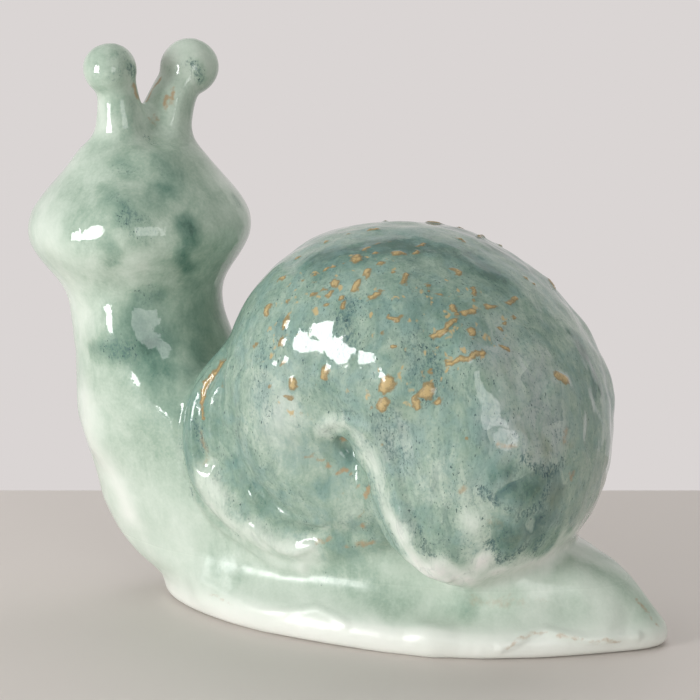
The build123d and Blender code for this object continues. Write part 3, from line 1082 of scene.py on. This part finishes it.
def pools_group(glaze):
    """Glaze that is white where thin and teal where it pools, with feathered clouds in it."""
    tree, bench, given, made = new_group(
        "glaze_pools",
        (("Place", "v", None), ("Pool", "f", 0.5), ("Run", "f", 0.0), ("Clouds", "f", 0.30)),
        (("Color", "c"), ("Level", "f")),
    )
    pool, run = given["Pool"], given["Run"]
    place = bench.bent(given["Place"], scale=60, reach=0.010)
    soft = bench.swing(place, scale=110, detail=4, roughness=0.6)
    broad = bench.swing(place, scale=42, detail=2)
    feather = bench.swing(bench.running(place, 0.5), scale=300, detail=5, roughness=0.65)
    streaks = bench.swing(bench.running(place, 0.28), scale=330, detail=5, roughness=0.65, distortion=0.6)
    fine = bench.swing(given["Place"], scale=1300, detail=2, roughness=0.6)
    cloud = bench.times(bench.math("ADD", soft, broad), bench.band(pool, 0.08, 0.45, 0.25, 1.0))
    grained = bench.band(pool, 0.15, 0.6, 0.04, 0.34)
    level = bench.plus(pool, cloud, given["Clouds"])
    level = bench.plus(level, feather, grained)
    level = bench.plus(level, fine, bench.times(grained, 0.5))
    level = bench.plus(level, bench.times(streaks, run), 0.50, clamp=True)
    stops = [
        (0.00, glaze.white), (0.16, glaze.cream), (0.32, glaze.pale), (0.48, glaze.mint),
        (0.62, glaze.sage), (0.76, glaze.green), (0.90, glaze.teal), (1.00, glaze.deep),
    ]
    sea = bench.noise(place, scale=170, detail=3, roughness=0.6)
    sea = bench.times(bench.band(sea, 0.42, 0.66, 0.0, 0.36), run, bench.band(level, 0.3, 0.65))
    bench.feed(made["Color"], bench.mix(sea, bench.ramp(level, stops), (*glaze.sea, 1)))
    bench.feed(made["Level"], level)
    return tree


def ink_group(glaze):
    """Blue-black streaks, soft stipple and specks that the glaze carries down with it."""
    tree, bench, given, made = new_group(
        "glaze_ink",
        (("Place", "v", None), ("Color", "c", None), ("Ink", "f", 0.2), ("Run", "f", 0.0),
         ("Level", "f", 0.5)),
        (("Color", "c"),),
    )
    place, ink = given["Place"], given["Ink"]
    drawn = bench.running(bench.bent(place, scale=90, reach=0.004), 0.22)
    veil = bench.noise(drawn, scale=420, detail=5, roughness=0.7, distortion=0.8)
    veil = bench.times(bench.band(veil, 0.50, 0.70), ink, given["Run"], 0.75)
    tinted = bench.mix(veil, given["Color"], (*glaze.blue, 1))
    cluster = bench.swing(bench.running(place, 0.5), scale=260, detail=4, roughness=0.65)
    thick = bench.plus(ink, cluster, 1.1, clamp=True)
    thick = bench.times(thick, bench.band(ink, 0.03, 0.25), bench.band(given["Level"], 0.22, 0.50))
    soft = bench.noise(bench.running(place, 0.6), scale=1500, detail=3, roughness=0.7)
    soft = bench.math("SUBTRACT", soft, bench.plus(0.555, thick, -0.14))
    soft = bench.times(bench.band(soft, 0.0, 0.18), thick, 0.80)
    tinted = bench.mix(soft, tinted, (*glaze.blue, 1))
    grain = bench.noise(bench.running(place, 0.5), scale=1900, detail=1)
    specks = bench.band(bench.math("SUBTRACT", grain, bench.plus(0.735, thick, -0.10)), 0.0, 0.04)
    specks = bench.times(specks, bench.band(thick, 0.1, 0.5, 0.0, 0.75))
    bench.feed(made["Color"], bench.mix(specks, tinted, (*glaze.ink, 1)))
    return tree


def veins_group(glaze):
    """Marbling: dark veins with a soft shadow on one side, pale rims and muddy pools."""
    tree, bench, given, made = new_group(
        "glaze_veins",
        (("Place", "v", None), ("Color", "c", None), ("Vein", "f", 0.0)),
        (("Color", "c"),),
    )
    place = bench.bent(bench.bent(given["Place"], scale=45, reach=0.018), scale=150, reach=0.006)
    field = bench.noise(bench.running(place, 0.5), scale=80, detail=1, roughness=0.4)
    fading = bench.band(bench.noise(place, scale=130, detail=3, roughness=0.6), 0.36, 0.62)
    vein = bench.times(given["Vein"], fading)
    off = bench.math("ABSOLUTE", bench.math("SUBTRACT", field, 0.5))
    line = bench.times(bench.band(off, 0.001, 0.010, 1.0, 0.0), 0.80)
    shadow = bench.times(bench.band(field, 0.492, 0.506), bench.band(field, 0.50, 0.63, 0.62, 0.0))
    rim = bench.times(bench.band(field, 0.42, 0.485), bench.band(field, 0.480, 0.498, 0.35, 0.0))
    muddy = bench.band(bench.noise(place, scale=95, detail=2), 0.54, 0.70, 0.0, 0.55)
    colour = bench.mix(bench.times(muddy, given["Vein"]), given["Color"], (*glaze.olive, 1))
    colour = bench.mix(bench.times(rim, vein), colour, (*glaze.pale, 1))
    dark = bench.times(bench.math("MAXIMUM", line, shadow), vein)
    bench.feed(made["Color"], bench.mix(dark, colour, (*glaze.blue, 1)))
    return tree


def haze_group(glaze):
    """Milky veil over the thick glaze."""
    tree, bench, given, made = new_group(
        "glaze_haze",
        (("Place", "v", None), ("Color", "c", None), ("Haze", "f", 0.0)),
        (("Color", "c"),),
    )
    place = bench.bent(given["Place"], scale=60, reach=0.010)
    cloud = bench.noise(bench.running(place, 0.45), scale=190, detail=5, roughness=0.65, distortion=0.6)
    cloud = bench.band(cloud, 0.32, 0.66, 0.15, 0.90)
    amount = bench.math("MULTIPLY", cloud, given["Haze"], clamp=True)
    bench.feed(made["Color"], bench.mix(amount, given["Color"], (*glaze.haze, 1)))
    return tree


def spots_group(glaze):
    """Raised ochre drops and flat warm stains."""
    tree, bench, given, made = new_group(
        "glaze_spots",
        (("Place", "v", None), ("Color", "c", None), ("Ochre", "f", 0.0), ("Rust", "f", 0.0),
         ("Fleck", "f", 0.0)),
        (("Color", "c"), ("Roughness", "f")),
    )
    place, spread = given["Place"], given["Fleck"]
    ragged = bench.swing(place, scale=900, detail=3, roughness=0.65)
    rust = bench.times(bench.band(bench.plus(given["Rust"], ragged, 0.7), 0.10, 0.75), 0.75)
    stained = bench.mix(rust, given["Color"], (*glaze.rust, 1))
    fleck = bench.noise(bench.running(bench.bent(place, scale=200, reach=0.003), 0.7), scale=430, detail=2)
    fleck = bench.band(bench.plus(fleck, spread, 0.10), 0.70, 0.80, 0.0, 0.75)
    fleck = bench.times(fleck, bench.band(spread, 0.02, 0.30))
    stained = bench.mix(fleck, stained, (*glaze.ochre, 1))
    ochre = bench.times(bench.plus(given["Ochre"], ragged, 0.9), bench.band(given["Ochre"], 0.02, 0.12))
    halo = bench.band(ochre, 0.06, 0.42, 0.0, 0.85)
    mottled = bench.band(bench.noise(place, scale=1500, detail=2, roughness=0.6), 0.5, 0.62, 0.0, 0.45)
    core = bench.math("SUBTRACT", bench.band(ochre, 0.38, 0.85), mottled, clamp=True)
    warm = bench.mix(core, (*glaze.brown, 1), (*glaze.ochre, 1))
    bench.feed(made["Color"], bench.mix(halo, stained, warm))
    bench.feed(made["Roughness"], bench.plus(GLOSS, halo, 0.08))
    return tree


def peel_group():
    """Faint orange peel of a thick glaze."""
    tree, bench, given, made = new_group(
        "glaze_peel", (("Place", "v", None), ("Depth", "f", 1.0)), (("Height", "f"),)
    )
    peel = bench.noise(given["Place"], scale=260, detail=2)
    fine = bench.noise(given["Place"], scale=800, detail=1)
    bench.feed(made["Height"], bench.times(bench.plus(peel, fine, 0.25), given["Depth"]))
    return tree


def glaze_material(slot, groups):
    """One piece's glaze: the shared effects in the order in which they were poured."""
    material = bpy.data.materials.new(slot)
    material.use_nodes = True
    tree = material.node_tree
    bench = Bench(tree)
    shader = tree.nodes["Principled BSDF"]
    place = bench.add("ShaderNodeTexCoord").outputs["Object"]
    channel = {
        name: bench.add("ShaderNodeAttribute", {"attribute_name": name}).outputs["Fac"]
        for name in CHANNELS
    }

    def placed(name, **inputs):
        node = bench.add("ShaderNodeGroup", {"node_tree": groups[name]})
        for label, value in inputs.items():
            bench.feed(node.inputs[label], value)
        return node.outputs

    run = channel["run"]
    pools = placed("pools", Place=place, Pool=channel["pool"], Run=run)
    haze = placed("haze", Place=place, Color=pools["Color"], Haze=channel["haze"])
    veins = placed("veins", Place=place, Color=haze["Color"], Vein=channel["vein"])
    ink = placed("ink", Place=place, Color=veins["Color"], Ink=channel["ink"], Run=run,
                 Level=pools["Level"])
    spots = placed("spots", Place=place, Color=ink["Color"], Ochre=channel["ochre"],
                   Rust=channel["rust"], Fleck=channel["fleck"])
    peel = placed("peel", Place=place)
    bump = bench.add("ShaderNodeBump", Strength=PEEL_STRENGTH, Distance=PEEL_DEPTH,
                     Height=peel["Height"])
    bench.feed(shader.inputs["Base Color"], spots["Color"])
    height = bench.add("ShaderNodeSeparateXYZ", Vector=place).outputs["Z"]
    dulled = bench.band(height, *DULL_FOOT, DULL, GLOSS)
    bench.feed(shader.inputs["Roughness"], bench.math("MAXIMUM", spots["Roughness"], dulled))
    bench.feed(shader.inputs["Normal"], bump.outputs["Normal"])
    shader.inputs["IOR"].default_value = GLAZE_IOR
    return material


class SNAIL_PT_panel(bpy.types.Panel):
    """Lists the snail's steps and settings"""

    bl_label = "Snail"
    bl_idname = "SNAIL_PT_panel"
    bl_space_type = "VIEW_3D"
    bl_region_type = "UI"
    bl_category = "Snail"

    def draw(self, context):
        for step in STEPS:
            self.layout.operator(step.bl_idname)
        for name in SETTINGS:
            settings = getattr(context.scene, name)
            box = self.layout.box()
            for value in settings.bl_rna.properties.keys():
                if value not in ("name", "rna_type"):
                    box.prop(settings, value)


SETTINGS = {
    "snail_clay": SnailClaySettings,
    "snail_glaze": SnailGlazeSettings,
    "snail_studio": SnailStudioSettings,
}
STEPS = (
    SNAIL_OT_clay_skin,
    SNAIL_OT_foot_slab,
    SNAIL_OT_body,
    SNAIL_OT_mantle_collar,
    SNAIL_OT_shell,
    SNAIL_OT_eye_stalks,
    SNAIL_OT_part_skin,
    SNAIL_OT_glaze,
    SNAIL_OT_stage,
)


def register():
    for kind in (*SETTINGS.values(), *STEPS, SNAIL_PT_panel):
        bpy.utils.register_class(kind)
    for name, kind in SETTINGS.items():
        setattr(bpy.types.Scene, name, PointerProperty(type=kind))


def unregister():
    for name in SETTINGS:
        delattr(bpy.types.Scene, name)
    for kind in (SNAIL_PT_panel, *reversed(STEPS), *SETTINGS.values()):
        bpy.utils.unregister_class(kind)


def main():
    register()
    bpy.ops.snail.clay_skin()
    bpy.ops.snail.foot_slab()
    bpy.ops.snail.body()
    bpy.ops.snail.mantle_collar()
    bpy.ops.snail.shell()
    bpy.ops.snail.eye_stalks()
    bpy.ops.snail.part_skin()
    bpy.ops.snail.glaze()
    bpy.ops.snail.stage()


if __name__ == "__main__":
    main()
